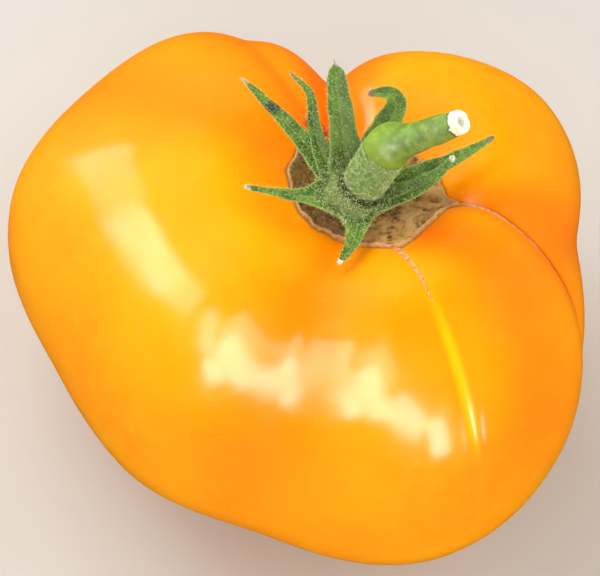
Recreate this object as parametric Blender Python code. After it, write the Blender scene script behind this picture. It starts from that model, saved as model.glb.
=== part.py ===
"""A large orange heirloom tomato, as picked: a lobed fruit that stands on its blossom end, the corky
scar in the hollow at its stem end, its calyx of eight sepals, and a cut length of its stalk.

Lengths are in metres and angles in degrees. +Z is up, and the origin is the middle of the small
flat spot that the fruit rests on. An azimuth is measured from +X towards +Y.
"""

import math
from collections import namedtuple

import bmesh
import bpy
from mathutils import Vector

MM = 0.001

# The fruit's body: a squarish, flattened globe whose axis leans to the scar at the top
GIRTH_HEIGHT = 28.2 * MM
SHOULDER_RISE = 37.0 * MM
REST_FLAT_DEPTH = 0.9 * MM
BLOSSOM_DROP = GIRTH_HEIGHT + REST_FLAT_DEPTH
PROFILE_POWER = 0.92
SCAR_OFFSET = 12.0 * MM
SHOULDER_LIFT = 5.66 * MM
SHOULDER_LIFT_AZIMUTH = -45.0
MERIDIANS = 120
PARALLELS = 44
PARALLEL_CROWDING = 1.6

# How far the skin reaches from the axis at the widest girth, by azimuth: the lobes
LOBE_REACH = (
    (-10, 42.2 * MM),
    (34, 44.0 * MM),
    (80, 40.0 * MM),
    (115, 50.5 * MM),
    (138, 53.1 * MM),
    (164, 52.9 * MM),
    (198, 43.9 * MM),
    (232, 43.7 * MM),
    (260, 43.9 * MM),
    (293, 51.4 * MM),
    (321, 48.6 * MM),
)

# The creases between the lobes. The station runs from 0 at the stem end to 1 at the blossom end.
# A crease lies at its azimuth at station 0.2, and drifts and bends away from it before and after.
# Rounding is how soft its bottom is. It reaches its full depth at start, and is gone at end.
Crease = namedtuple("Crease", "azimuth drift bend depth half_width rounding start end")
CREASE_STATION = 0.2
CREASE_FADE = 0.75
BACK_NOTCH = Crease(98.5, -40, 0, 11.2 * MM, 9, 0.5, 0.12, 0.8)
CREASES = (
    Crease(-17.5, -33, 0, 2.1 * MM, 6, 0.4, 0.12, 0.79),
    Crease(-12, 30, 120, 3.0 * MM, 7, 1.5, 0.3, 0.85),
    Crease(-40, 0, -400, 0.9 * MM, 8, 2.0, 0.14, 0.6),
    Crease(-65.5, 7, 0, 0.5 * MM, 5, 0.4, 0.12, 0.7),
    BACK_NOTCH,
    Crease(113.5, -19, 0, 4.2 * MM, 7, 0.4, 0.12, 0.7),
    Crease(144.5, -7, 0, 2.7 * MM, 11, 2.0, 0.12, 0.75),
    Crease(253.5, -3, 0, 2.8 * MM, 11, 2.0, 0.12, 0.8),
)

# How far round the notch the meridians turn with it, and the station where they turn no further
TURN_SPAN = 45
TURN_END = 0.55

# The hollow at the stem end
HOLLOW_DEPTH = 11.2 * MM
HOLLOW_RADIUS = 16.5 * MM
HOLLOW_POWER = 4.6

# The corky scar: its outline round the fruit's axis, its gap over the skin and its thickness
SCAR_OUTLINE = (
    (2, 12.4 * MM),
    (37, 10.2 * MM),
    (91, 11.2 * MM),
    (118, 13.4 * MM),
    (146, 12.7 * MM),
    (179, 10.8 * MM),
    (225, 9.7 * MM),
    (253, 9.6 * MM),
    (278, 11.3 * MM),
    (297, 13.5 * MM),
    (322, 13.3 * MM),
    (345, 14.4 * MM),
)
SCAR_GAP = 0.4 * MM
SCAR_EDGE_THICKNESS = 0.4 * MM
SCAR_THICKNESS = 0.8 * MM
SCAR_EDGE_POWER = 4
SCAR_RIDGE = 0.2 * MM
SCAR_RIDGES = 11
SCAR_RINGS = 6
SCAR_SPOKES = 60

# The hub that the sepals grow from, on a level seat in the scar
PIECE_GAP = 0.3 * MM
SEAT_HEIGHT = 55.4 * MM
SEAT_RIM = 1.5 * MM
HUB_BASE = Vector((11.0 * MM, -2.0 * MM, SEAT_HEIGHT + PIECE_GAP))
HUB_BASE_RADIUS = 5.2 * MM
HUB_TOP = Vector((11.7, -2.6, 58.3)) * MM
HUB_TOP_RADIUS = 3.5 * MM
HUB_SIDES = 24

# The sepals. Each grows from its heading on the hub, and its heading and rise change evenly along
# its length. Flare is how much wider its root is, tip is its end's share of its width, and a high
# taper keeps it wide for longer. Hook and nod are the further turns of heading and rise close to
# the tip.
Sepal = namedtuple("Sepal", "heading sweep rise curl length width flare tip taper hook nod")
SEPALS = (
    Sepal(135, 2, 20, -4, 22.5 * MM, 3.6 * MM, 0.8, 0.16, 1.7, 0, 0),
    Sepal(138, -74, 29, 4, 19.8 * MM, 2.6 * MM, 0.8, 0.16, 1.7, 64, -28),
    Sepal(104, -6, 46, 0, 19.0 * MM, 4.6 * MM, 0.5, 0.3, 4.5, 0, 0),
    Sepal(61, 0, 34, -4, 18.2 * MM, 5.6 * MM, 0.4, 0.16, 1.9, 116, -42),
    Sepal(6, 22, 21, -3, 20.5 * MM, 4.2 * MM, 0.4, 0.16, 1.7, 0, 0),
    Sepal(-19, 69, 24, 5, 15.2 * MM, 4.0 * MM, 0.5, 0.16, 1.7, 0, 0),
    Sepal(276, -41, 11, 1, 12.0 * MM, 3.5 * MM, 0.9, 0.16, 1.7, 0, 0),
    Sepal(194, -22, 19, -4, 14.9 * MM, 2.8 * MM, 1.6, 0.16, 1.7, 0, 0),
)
SEPAL_ORIGIN = Vector((11.0, -2.3, 56.3)) * MM
SEPAL_START = 2.6 * MM
SEPAL_HOOK_STATION = 0.6
SEPAL_HOOK_SPAN = 0.3
SEPAL_THICKNESS = 0.75 * MM
SEPAL_FOLD = 0.35
SEPAL_FOLD_START = 0.3
SEPAL_FOLD_POWER = 1.5
SEPAL_FLARE_END = 0.5
SEPAL_ROWS = 13
SEPAL_COLUMNS = 5

# The stalk: its base on the hub, the knuckle where it bends, and the cut end
KNUCKLE = Vector((16.0, 0.0, 65.9)) * MM
CUT_END = Vector((26.1, -2.0, 75.2)) * MM
STALK_FOOT_RADIUS = 3.05 * MM
STALK_LOWER_RADIUS = 3.15 * MM
STALK_KNUCKLE_RADIUS = 3.5 * MM
STALK_UPPER_RADIUS = 2.4 * MM
STALK_CUT_RADIUS = 2.05 * MM

SKIN_ORANGE = (1.0, 0.37, 0.005)
CORK_BROWN = (0.30, 0.19, 0.09)
SEPAL_GREEN = (0.10, 0.22, 0.05)
STALK_GREEN = (0.25, 0.42, 0.10)


def clear_scene():
    for obj in list(bpy.data.objects):
        bpy.data.objects.remove(obj, do_unlink=True)


def new_collection(name):
    collection = bpy.data.collections.new(name)
    bpy.context.scene.collection.children.link(collection)
    return collection


def finish(name, colour, roughness):
    material = bpy.data.materials.new(name)
    material.use_nodes = True
    shader = material.node_tree.nodes["Principled BSDF"]
    shader.inputs["Base Color"].default_value = (*colour, 1.0)
    shader.inputs["Roughness"].default_value = roughness
    shader.inputs["Metallic"].default_value = 0.0
    return material


def object_from(name, mesh_data, collection, material=None):
    mesh = bpy.data.meshes.new(name)
    mesh_data.to_mesh(mesh)
    mesh_data.free()
    mesh.shade_smooth()
    obj = bpy.data.objects.new(name, mesh)
    collection.objects.link(obj)
    if material:
        mesh.materials.append(material)
    return obj


def ease(value):
    """0 below 0, 1 above 1, and a smooth step between."""
    value = min(max(value, 0.0), 1.0)
    return value * value * (3 - 2 * value)


def turn_between(azimuth, other):
    """The signed angle from other to azimuth, between -180 and 180."""
    return (azimuth - other + 180) % 360 - 180


def around(rows, azimuth):
    """A smooth closed curve through (azimuth, value) rows in rising order, read at an azimuth."""
    count = len(rows)
    azimuth = (azimuth - rows[0][0]) % 360 + rows[0][0]
    low = max(index for index in range(count) if rows[index][0] <= azimuth)

    def row(index):
        turns, place = divmod(index, count)
        return rows[place][0] + 360 * turns, rows[place][1]

    (a0, v0), (a1, v1), (a2, v2), (a3, v3) = (row(low + step) for step in (-1, 0, 1, 2))
    span = a2 - a1
    share = (azimuth - a1) / span
    slope_1 = (v2 - v0) / (a2 - a0) * span
    slope_2 = (v3 - v1) / (a3 - a1) * span
    square, cube = share**2, share**3
    return (
        (2 * cube - 3 * square + 1) * v1
        + (cube - 2 * square + share) * slope_1
        + (3 * square - 2 * cube) * v2
        + (cube - square) * slope_2
    )


def crease_depth(azimuth, station):
    """How deep the creases press the skin in at this place."""
    total = 0.0
    for crease in CREASES:
        onward = station - CREASE_STATION
        middle = crease.azimuth + crease.drift * onward + crease.bend * onward**2
        away = abs(turn_between(azimuth, middle)) / crease.half_width
        groove = math.exp(-away * away / (away + crease.rounding))
        starts = ease(station / crease.start)
        ends = ease((crease.end - station) / (crease.end * CREASE_FADE))
        total += crease.depth * groove * starts * ends
    return total


def skin_point(azimuth, station):
    """The point of the fruit's skin at an azimuth and a station from stem end to blossom end."""
    angle = math.pi * station
    sine, cosine = math.sin(angle), math.cos(angle)
    facing = Vector((math.cos(math.radians(azimuth)), math.sin(math.radians(azimuth)), 0))
    widening = max(sine, 0.0) ** PROFILE_POWER
    reach = around(LOBE_REACH, azimuth) * widening
    if station < 0.5:
        lift = SHOULDER_LIFT * math.cos(math.radians(azimuth - SHOULDER_LIFT_AZIMUTH))
        height = SHOULDER_RISE * cosine**PROFILE_POWER + lift * widening * cosine
        height -= HOLLOW_DEPTH / (1 + (reach / HOLLOW_RADIUS) ** HOLLOW_POWER)
    else:
        height = -BLOSSOM_DROP * abs(cosine) ** PROFILE_POWER
    axis = Vector((SCAR_OFFSET * (1 + cosine) / 2, 0, GIRTH_HEIGHT))
    outward = facing * sine + Vector((0, 0, cosine))
    point = axis + facing * reach + Vector((0, 0, height))
    point -= outward * crease_depth(azimuth, station)
    point.z = max(point.z, 0.0)
    return point


def turned_meridian(azimuth, station):
    """A meridian's azimuth, turned close to the back notch so that it runs along the notch."""
    near = ease(1 - abs(turn_between(azimuth, BACK_NOTCH.azimuth)) / TURN_SPAN)
    return azimuth + near * BACK_NOTCH.drift * (min(station, TURN_END) - CREASE_STATION)


def build_fruit(collection):
    """A globe whose parallels crowd at the stem end, with each point moved to the skin."""
    mesh_data = bmesh.new()
    bmesh.ops.create_uvsphere(
        mesh_data, u_segments=MERIDIANS, v_segments=PARALLELS, radius=1.0
    )
    for vertex in mesh_data.verts:
        azimuth = math.degrees(math.atan2(vertex.co.y, vertex.co.x))
        even_station = math.acos(min(max(vertex.co.z, -1.0), 1.0)) / math.pi
        station = even_station**PARALLEL_CROWDING
        vertex.co = skin_point(turned_meridian(azimuth, station), station)
    return object_from("fruit", mesh_data, collection, finish("tomato_skin", SKIN_ORANGE, 0.3))


def station_at(azimuth, radius):
    """The station near the stem end where the skin is this far from the fruit's axis."""
    sine = (radius / around(LOBE_REACH, azimuth)) ** (1 / PROFILE_POWER)
    return math.asin(sine) / math.pi


def build_scar(collection):
    """A crust that follows the skin of the hollow, thicker in the middle and with low ridges."""
    mesh_data = bmesh.new()
    rings = {}
    for side in ("under", "upper"):
        for ring in range(1, SCAR_RINGS + 1):
            share = ring / SCAR_RINGS
            rings[side, ring] = [
                mesh_data.verts.new(scar_point(side, share, 360 * spoke / SCAR_SPOKES))
                for spoke in range(SCAR_SPOKES)
            ]
        rings[side, 0] = [mesh_data.verts.new(scar_point(side, 0.0, 0.0))] * SCAR_SPOKES
    loops = [rings["under", ring] for ring in range(SCAR_RINGS + 1)]
    loops += [rings["upper", ring] for ring in range(SCAR_RINGS, -1, -1)]
    for inner, outer in zip(loops, loops[1:]):
        for spoke in range(SCAR_SPOKES):
            after = (spoke + 1) % SCAR_SPOKES
            corners = (inner[spoke], inner[after], outer[after], outer[spoke])
            mesh_data.faces.new(tuple(dict.fromkeys(corners)))
    bmesh.ops.recalc_face_normals(mesh_data, faces=mesh_data.faces)
    return object_from("corky_scar", mesh_data, collection, finish("cork", CORK_BROWN, 0.9))


def scar_point(side, share, azimuth):
    """A point of the scar's under or upper face, at a share of the way to its outline."""
    radius = share * around(SCAR_OUTLINE, azimuth)
    point = skin_point(azimuth, station_at(azimuth, radius))
    point.z += SCAR_GAP
    if side == "upper":
        body = 1 - share**SCAR_EDGE_POWER
        ridges = 0.5 + 0.5 * math.cos(math.radians(SCAR_RIDGES * azimuth)) * share
        point.z += SCAR_EDGE_THICKNESS + (SCAR_THICKNESS - SCAR_EDGE_THICKNESS) * body
        point.z -= SCAR_RIDGE * ridges * share * body
        from_hub = math.hypot(point.x - HUB_BASE.x, point.y - HUB_BASE.y)
        seat = ease((HUB_BASE_RADIUS + 2 * SEAT_RIM - from_hub) / SEAT_RIM)
        point.z += (SEAT_HEIGHT - point.z) * seat
    return point


def build_hub(collection):
    """The short stub between the level scar and the leaning stalk."""
    mesh_data = bmesh.new()
    made = bmesh.ops.create_cone(
        mesh_data,
        cap_ends=True,
        cap_tris=True,
        segments=HUB_SIDES,
        radius1=HUB_BASE_RADIUS,
        radius2=HUB_TOP_RADIUS,
        depth=1.0,
    )
    lean = Vector((0, 0, 1)).rotation_difference(KNUCKLE - HUB_TOP)
    for vertex in made["verts"]:
        across = Vector((vertex.co.x, vertex.co.y, 0))
        vertex.co = HUB_TOP + lean @ across if vertex.co.z > 0 else HUB_BASE + across
    return object_from("calyx", mesh_data, collection, finish("calyx_green", SEPAL_GREEN, 0.7))


def sepal_width(sepal, station):
    """A sepal's outline: a root that flares towards the next ones, and a narrower tip."""
    flare = 1 + sepal.flare * ease(1 - station / SEPAL_FLARE_END)
    taper = 1 - (1 - sepal.tip) * station**sepal.taper
    return sepal.width * flare * taper


def sepal_line(sepal, rows):
    """The points and directions of a sepal's midrib from its root to its tip."""
    heading = math.radians(sepal.heading)
    point = SEPAL_ORIGIN + SEPAL_START * Vector((math.cos(heading), math.sin(heading), 0))
    step = sepal.length / (rows - 1)
    line = []
    for row in range(rows):
        station = row / (rows - 1)
        close_to_tip = ease((station - SEPAL_HOOK_STATION) / SEPAL_HOOK_SPAN)
        heading = math.radians(
            sepal.heading + sepal.sweep * station + sepal.hook * close_to_tip
        )
        rise = math.radians(sepal.rise + sepal.curl * station + sepal.nod * close_to_tip)
        along = Vector(
            (
                math.cos(rise) * math.cos(heading),
                math.cos(rise) * math.sin(heading),
                math.sin(rise),
            )
        )
        line.append((station, point.copy(), along))
        point += along * step
    return line


def sepal_ring(sepal, station, point, along):
    """The closed cross-section of a sepal: a shallow V, upper face first, then the under face."""
    across = along.cross(Vector((0, 0, 1))).normalized()
    upward = across.cross(along).normalized()
    half_width = 0.5 * sepal_width(sepal, station)
    half_thickness = 0.5 * SEPAL_THICKNESS
    upper, under = [], []
    for column in range(SEPAL_COLUMNS):
        side = 2 * column / (SEPAL_COLUMNS - 1) - 1
        fold = SEPAL_FOLD * half_width * abs(side) ** SEPAL_FOLD_POWER
        fold *= ease(station / SEPAL_FOLD_START)
        middle = point + across * (side * half_width) + upward * fold
        upper.append(middle + upward * half_thickness)
        under.append(middle - upward * half_thickness)
    return upper, under


def build_sepal(number, sepal, collection):
    """One sepal as a closed blade, split into triangles alike on both faces."""
    mesh_data = bmesh.new()
    rows = []
    for station, point, along in sepal_line(sepal, SEPAL_ROWS):
        upper, under = sepal_ring(sepal, station, point, along)
        rows.append(
            (
                [mesh_data.verts.new(place) for place in upper],
                [mesh_data.verts.new(place) for place in under],
            )
        )
    last = SEPAL_COLUMNS - 1
    for (upper, under), (next_upper, next_under) in zip(rows, rows[1:]):
        for column in range(last):
            for near, far in ((upper, next_upper), (under, next_under)):
                mesh_data.faces.new((near[column], far[column], far[column + 1]))
                mesh_data.faces.new((near[column], far[column + 1], near[column + 1]))
        for column in (0, last):
            mesh_data.faces.new((upper[column], next_upper[column], next_under[column]))
            mesh_data.faces.new((upper[column], next_under[column], under[column]))
    for upper, under in (rows[0], rows[-1]):
        for column in range(last):
            mesh_data.faces.new(
                (upper[column], upper[column + 1], under[column + 1], under[column])
            )
    bmesh.ops.recalc_face_normals(mesh_data, faces=mesh_data.faces)
    return object_from(f"sepal_{number}", mesh_data, collection)


def build_calyx(collection, blades):
    """The hub with its sepals joined to it by one union."""
    for number, sepal in enumerate(SEPALS, 1):
        blade = build_sepal(number, sepal, blades)
        blade.hide_render = True
        blade.display_type = "WIRE"
    calyx = build_hub(collection)
    union = calyx.modifiers.new("join_sepals", "BOOLEAN")
    union.operation = "UNION"
    union.solver = "EXACT"
    union.operand_type = "COLLECTION"
    union.collection = blades
    return calyx


def build_stalk(collection):
    """The stalk as a round curve, thick below, swollen at the knuckle and thinner to its cut."""
    lean = (KNUCKLE - HUB_TOP).normalized()
    reach = CUT_END - KNUCKLE
    base = HUB_TOP + lean * PIECE_GAP
    stations = (
        (base, STALK_FOOT_RADIUS),
        (base.lerp(KNUCKLE, 0.35), STALK_LOWER_RADIUS),
        (base.lerp(KNUCKLE, 0.7), STALK_LOWER_RADIUS * 1.04),
        (KNUCKLE, STALK_KNUCKLE_RADIUS),
        (KNUCKLE + reach * 0.3, STALK_UPPER_RADIUS * 1.08),
        (KNUCKLE + reach * 0.65, STALK_UPPER_RADIUS),
        (CUT_END, STALK_CUT_RADIUS),
    )
    curve = bpy.data.curves.new("stem", "CURVE")
    curve.dimensions = "3D"
    curve.bevel_depth = 1.0 * MM
    curve.bevel_resolution = 4
    curve.resolution_u = 4
    curve.use_fill_caps = True
    spline = curve.splines.new("BEZIER")
    spline.bezier_points.add(len(stations) - 1)
    for control, (place, radius) in zip(spline.bezier_points, stations):
        control.co = place
        control.radius = radius / MM
        control.handle_left_type = control.handle_right_type = "AUTO"
    stalk = bpy.data.objects.new("stem", curve)
    curve.materials.append(finish("stalk_green", STALK_GREEN, 0.6))
    collection.objects.link(stalk)
    return stalk


def main():
    clear_scene()
    tomato = new_collection("heirloom_tomato")
    sepal_blades = new_collection("sepal_blades")
    build_fruit(tomato)
    build_scar(tomato)
    build_calyx(tomato, sepal_blades)
    build_stalk(tomato)


main()
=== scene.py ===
"""The looks of a large orange heirloom tomato, as picked, with its calyx and a cut length of stalk.

Lengths are in metres and angles in degrees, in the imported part's own frame: +Z is up, and the
origin is the middle of the flat spot that the fruit rests on. An azimuth is measured from +X
towards +Y. A station runs from 0 at the fruit's stem end to 1 at its blossom end.
"""

import bisect
import math
import random
from collections import namedtuple

import bmesh
import bpy
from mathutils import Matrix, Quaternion, Vector, noise
from mathutils.geometry import interpolate_bezier


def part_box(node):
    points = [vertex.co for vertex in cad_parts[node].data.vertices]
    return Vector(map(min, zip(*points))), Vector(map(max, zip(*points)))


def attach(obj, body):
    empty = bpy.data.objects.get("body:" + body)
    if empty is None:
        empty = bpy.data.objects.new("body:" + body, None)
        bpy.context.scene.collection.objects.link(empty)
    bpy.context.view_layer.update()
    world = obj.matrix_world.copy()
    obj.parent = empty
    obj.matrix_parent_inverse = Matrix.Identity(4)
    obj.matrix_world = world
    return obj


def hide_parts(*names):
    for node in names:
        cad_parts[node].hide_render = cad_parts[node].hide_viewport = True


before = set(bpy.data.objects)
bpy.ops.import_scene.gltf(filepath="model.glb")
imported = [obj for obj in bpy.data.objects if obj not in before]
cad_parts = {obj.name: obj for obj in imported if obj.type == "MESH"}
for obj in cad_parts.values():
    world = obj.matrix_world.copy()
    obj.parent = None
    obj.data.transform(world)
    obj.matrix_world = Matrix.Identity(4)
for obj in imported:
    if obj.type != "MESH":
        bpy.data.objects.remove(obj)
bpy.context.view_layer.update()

MM = 0.001
UP = Vector((0, 0, 1))

# The fruit's body, as its solid is made
GIRTH_HEIGHT = 28.2 * MM
GIRTH_STATION = 0.5
SHOULDER_RISE = 37.0 * MM
REST_FLAT_DEPTH = 0.9 * MM
BLOSSOM_DROP = GIRTH_HEIGHT + REST_FLAT_DEPTH
PROFILE_POWER = 0.92
SCAR_OFFSET = 12.0 * MM
SHOULDER_LIFT = 5.66 * MM
SHOULDER_LIFT_AZIMUTH = -45.0
PARALLEL_CROWDING = 1.6
LOBE_REACH = (
    (-10, 42.2 * MM), (34, 44.0 * MM), (80, 40.0 * MM), (115, 50.5 * MM), (138, 53.1 * MM),
    (164, 52.9 * MM), (198, 43.9 * MM), (232, 43.7 * MM), (260, 43.9 * MM), (293, 51.4 * MM),
    (321, 48.6 * MM),
)
HOLLOW_DEPTH = 11.2 * MM
HOLLOW_RADIUS = 16.5 * MM
HOLLOW_POWER = 4.6

# The creases between the lobes: azimuth at CREASE_STATION, and its drift and bend from there on
Crease = namedtuple("Crease", "azimuth drift bend depth half_width rounding start end")
CREASE_STATION = 0.2
CREASE_FADE = 0.75
RIGHT_FOLD = Crease(-17.5, -33, 0, 2.1 * MM, 6, 0.4, 0.12, 0.79)
FRONT_LINE = Crease(-65.5, 7, 0, 0.5 * MM, 5, 0.4, 0.12, 0.7)
BACK_NOTCH = Crease(98.5, -40, 0, 11.2 * MM, 9, 0.5, 0.12, 0.8)
RIGHT_VALLEY = Crease(-40, 0, -400, 0.9 * MM, 8, 2.0, 0.14, 0.6)
CREASES = (
    RIGHT_FOLD,
    Crease(-12, 30, 120, 3.0 * MM, 7, 1.5, 0.3, 0.85),
    RIGHT_VALLEY,
    FRONT_LINE,
    BACK_NOTCH,
    Crease(113.5, -19, 0, 4.2 * MM, 7, 0.4, 0.12, 0.7),
    Crease(144.5, -7, 0, 2.7 * MM, 11, 2.0, 0.12, 0.75),
    Crease(253.5, -3, 0, 2.8 * MM, 11, 2.0, 0.12, 0.8),
)
TURN_SPAN = 45
TURN_END = 0.55

# Fine relief that only the finished skin has: a narrow cut along a crease, and a faint unevenness
Cut = namedtuple("Cut", "crease depth half_width rounding start end")
CUTS = (
    Cut(RIGHT_FOLD, 0.5 * MM, 0.42 * MM, 0.4, 0.08, 0.62),
    Cut(FRONT_LINE, 0.16 * MM, 0.45 * MM, 0.4, 0.10, 0.52),
)
CUT_FADE = 0.08
SWELL_SIZE = 13.0 * MM
SWELL_HEIGHT = 0.16 * MM
DIMPLE_SIZE = 5.0 * MM
DIMPLE_HEIGHT = 0.03 * MM
SKIN_MERIDIANS = 288
SKIN_PARALLELS = 160
SKIN_MERGE = 0.001 * MM
FINE_BAND = 2.6 * MM
FINE_PASSES = 2
LINE_REACH = 10.0 * MM
# Painted shade along the right valley: how far it spreads, in degrees, and how dark it is
VALLEY_SPREAD = 26
VALLEY_SHADE = 0.8
# Broad soft patches of a more golden or a deeper orange, which make the skin lighter or darker there
Tint = namedtuple("Tint", "spot reach share colour")
TINTS = (
    Tint(Vector((-13.1, 26.6, 50.8)) * MM, 22 * MM, 0.9, "#FFB800"),
    Tint(Vector((7.2, -15.5, 56.1)) * MM, 9 * MM, 0.5, "#FFB800"),
    Tint(Vector((41.0, -33.0, 43.0)) * MM, 18 * MM, 0.5, "#FF7000"),
    Tint(Vector((18.7, -28.3, 60.3)) * MM, 13 * MM, 0.25, "#FF7000"),
    Tint(Vector((33.2, 9.2, 59.4)) * MM, 14 * MM, 0.25, "#FF7000"),
)
RUSSET = Vector((5.6, 12.2, 50.0)) * MM
RUSSET_REACH = 4.2 * MM

# The corky scar round the stalk, and its points that run out along two creases
SCAR_OUTLINE = (
    (2, 12.4 * MM), (37, 10.2 * MM), (91, 11.2 * MM), (118, 13.4 * MM), (146, 12.7 * MM),
    (179, 10.8 * MM), (225, 9.7 * MM), (253, 9.6 * MM), (278, 11.3 * MM), (297, 13.5 * MM),
    (322, 13.3 * MM), (345, 14.4 * MM),
)
ScarPoint = namedtuple("ScarPoint", "azimuth reach half_width")
SCAR_POINTS = (ScarPoint(-15.5, 3.4 * MM, 8), ScarPoint(-64.0, 0.7 * MM, 6))
# The bays of the scar's ragged outline: how close they stand, and how deep they go
SCAR_BAYS = ((5.0, 0.45 * MM), (19.0, 0.22 * MM))
SCAR_BODY = 0.75 * MM
SCAR_SINK = 0.5 * MM
SCAR_RINGS = 66
SCAR_SPOKES = 380
# The crust's relief: the size of its lumps, how high they stand, and how much painted shade darkens
# the pits between them. Fibres and threads run outwards, and the size is how close they stand.
Relief = namedtuple("Relief", "size height darkness")
FIBRE = Relief(11.0, 0.20 * MM, 0.4)
FIBRE_LENGTH = 4 * MM
THREAD = Relief(34.0, 0.12 * MM, 0.2)
THREAD_LENGTH = 2 * MM
CLOD = Relief(1.5 * MM, 0.26 * MM, 0.5)
NET = Relief(0.9 * MM, 0.30 * MM, 0.8)
NET_LEVEL = 0.5
NET_SHIFT = 9
PIT_DARKNESS = 0.75
CRUST_SETTLING = 0.1 * MM
CRUST_SINK = 0.12 * MM
CRUST_EDGE = 0.035
# The crust's raised lip: its height, its place and spread as shares of the radius, how evenly it
# stands, and how far it is paler
SCAR_LIP = 0.3 * MM
LIP_PLACE = 0.965
LIP_SPREAD = 0.022
LIP_EVENNESS = 0.6
LIP_LUMPS = 0.5
LIP_TONE = 0.7

# The hub and the sepals
PIECE_GAP = 0.3 * MM
SEAT_HEIGHT = 55.4 * MM
HUB_BASE = Vector((11.0 * MM, -2.0 * MM, SEAT_HEIGHT + PIECE_GAP))
HUB_BASE_RADIUS = 5.2 * MM
HUB_TOP = Vector((11.7, -2.6, 58.3)) * MM
HUB_TOP_RADIUS = 3.5 * MM
# Tip is the share of the width that is left at the tip, bead is the radius of the dry bead there,
# tone is how pale the dry tip is, and wither is how far it has shrunk.
Sepal = namedtuple(
    "Sepal",
    "name heading sweep rise curl length width flare tip taper hook nod bead tone wither",
    defaults=(0.16, 1.7, 0, 0, 0, 0.2, 0),
)
SEPALS = (
    Sepal("sepal_back_left", 135, 2, 20, -4, 22.5 * MM, 3.6 * MM, 0.8, tone=0.6, wither=0.3),
    Sepal(
        "sepal_narrow_curled", 138, -74, 29, 4, 19.8 * MM, 2.6 * MM, 0.8,
        hook=64, nod=-28, tone=0.25, wither=0.2,
    ),
    Sepal(
        "sepal_upright", 104, -6, 46, 0, 19.0 * MM, 4.2 * MM, 0.5,
        tip=0.3, taper=4.5, tone=0.7, wither=0.62,
    ),
    Sepal(
        "sepal_folded_over", 61, 0, 34, -4, 18.2 * MM, 5.6 * MM, 0.4,
        taper=1.9, hook=116, nod=-42, tone=0.15,
    ),
    Sepal("sepal_long_right", 6, 22, 21, -3, 20.5 * MM, 4.2 * MM, 0.4),
    Sepal("sepal_front_right", -19, 69, 24, 5, 15.2 * MM, 4.0 * MM, 0.5, bead=0.5 * MM, tone=1.0),
    Sepal("sepal_front", 276, -41, 11, 1, 12.0 * MM, 3.5 * MM, 0.9, bead=0.4 * MM, tone=1.0),
    Sepal("sepal_left", 194, -22, 19, -4, 14.9 * MM, 2.8 * MM, 1.6, bead=0.33 * MM, tone=0.75),
)
SEPAL_ORIGIN = Vector((11.0, -2.3, 56.3)) * MM
SEPAL_START = 2.6 * MM
SEPAL_HOOK_STATION = 0.6
SEPAL_HOOK_SPAN = 0.3
SEPAL_FOLD = 0.35
SEPAL_FOLD_START = 0.3
SEPAL_FOLD_POWER = 1.5
SEPAL_FLARE_END = 0.5
SEPAL_END_ROUNDING = 0.7 * MM
WITHER_START = 0.9
WITHER_SPAN = 0.05
SEPAL_ROWS = 110
SEPAL_COLUMNS = 17
# A sepal's fine form: its ragged and rippled edges, the furrow above, the midrib below, and its
# thickness. Widths are shares of half the blade.
SEPAL_RAGGEDNESS = 0.12
SEPAL_RIPPLE = 0.6 * MM
SEPAL_WAVE_LENGTH = 2.2 * MM
RIPPLE_STRETCH = 0.7
RIPPLE_SHIFT = 5
RAGGED_SHIFT = 2
NEXT_SEPAL_SHIFT = 7.3
FURROW_DEPTH = 0.16 * MM
FURROW_WIDTH = 0.16
RIB_HEIGHT = 0.30 * MM
RIB_WIDTH = 0.2
BLADE_THICKNESS = 0.42 * MM
ROOT_THICKENING = 0.9 * MM
ROOT_END = 0.3
EDGE_THINNING = 0.62
NARROW_THINNING = 0.55
TIP_BLUNTNESS = 0.03
LEAST_BEAD = 0.01 * MM

# The stalk
KNUCKLE = Vector((16.0, 0.0, 65.9)) * MM
CUT_END = Vector((26.1, -2.0, 75.2)) * MM
# The stalk's lower and upper lengths: the share of the way along, and the radius there
LOWER_LENGTH = ((0.0, 3.05 * MM), (0.35, 3.15 * MM), (0.7, 3.276 * MM))
UPPER_LENGTH = ((0.0, 3.5 * MM), (0.3, 2.592 * MM), (0.65, 2.4 * MM))
CUT_RADIUS = 2.05 * MM
STALK_SIDES = 72
STALK_STEPS = 28
# Stations on the stalk, counted in the rows above
KNUCKLE_STATION = 3
STEP_STATION = KNUCKLE_STATION - 0.75
CUT_STATION = 6

# Sockets of Blender's colour Mix node
MIX_A, MIX_B, MIX_RESULT = 6, 7, 2

# What a colour or a bump can go by, besides a measure that the mesh carries and the distance from a
# spot: soft noise with patches of a size, a measure frayed by such noise, and the distance from the
# nearest of many dots, in shares of their spacing
Cloud = namedtuple("Cloud", "size detail roughness", defaults=(2.0, 0.5))
Frayed = namedtuple("Frayed", "measure size amount")
Dots = namedtuple("Dots", "spacing")
# A smooth change from at_low to at_high as a measure goes from low to high
Fade = namedtuple("Fade", "measure low high at_low at_high", defaults=(0.0, 1.0))
Bump = namedtuple("Bump", "height depth strength")


def linear(hex_colour):
    """An sRGB hex colour as linear red, green, blue and alpha."""
    channels = [int(hex_colour[place : place + 2], 16) / 255 for place in (1, 3, 5)]
    knee, slope = 0.04045, 12.92
    return [
        *(c / slope if c <= knee else ((c + 0.055) / 1.055) ** 2.4 for c in channels),
        1.0,
    ]


def add(tree, kind, output, inputs, **settings):
    """Adds one node with its settings, and returns one of its outputs. An input takes a value, or
    the output that feeds it."""
    node = tree.nodes.new("ShaderNode" + kind)
    for name, value in settings.items():
        setattr(node, name, value)
    for socket, value in inputs.items():
        if isinstance(value, bpy.types.NodeSocket):
            tree.links.new(value, node.inputs[socket])
        else:
            node.inputs[socket].default_value = value
    return node.outputs[output]


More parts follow.
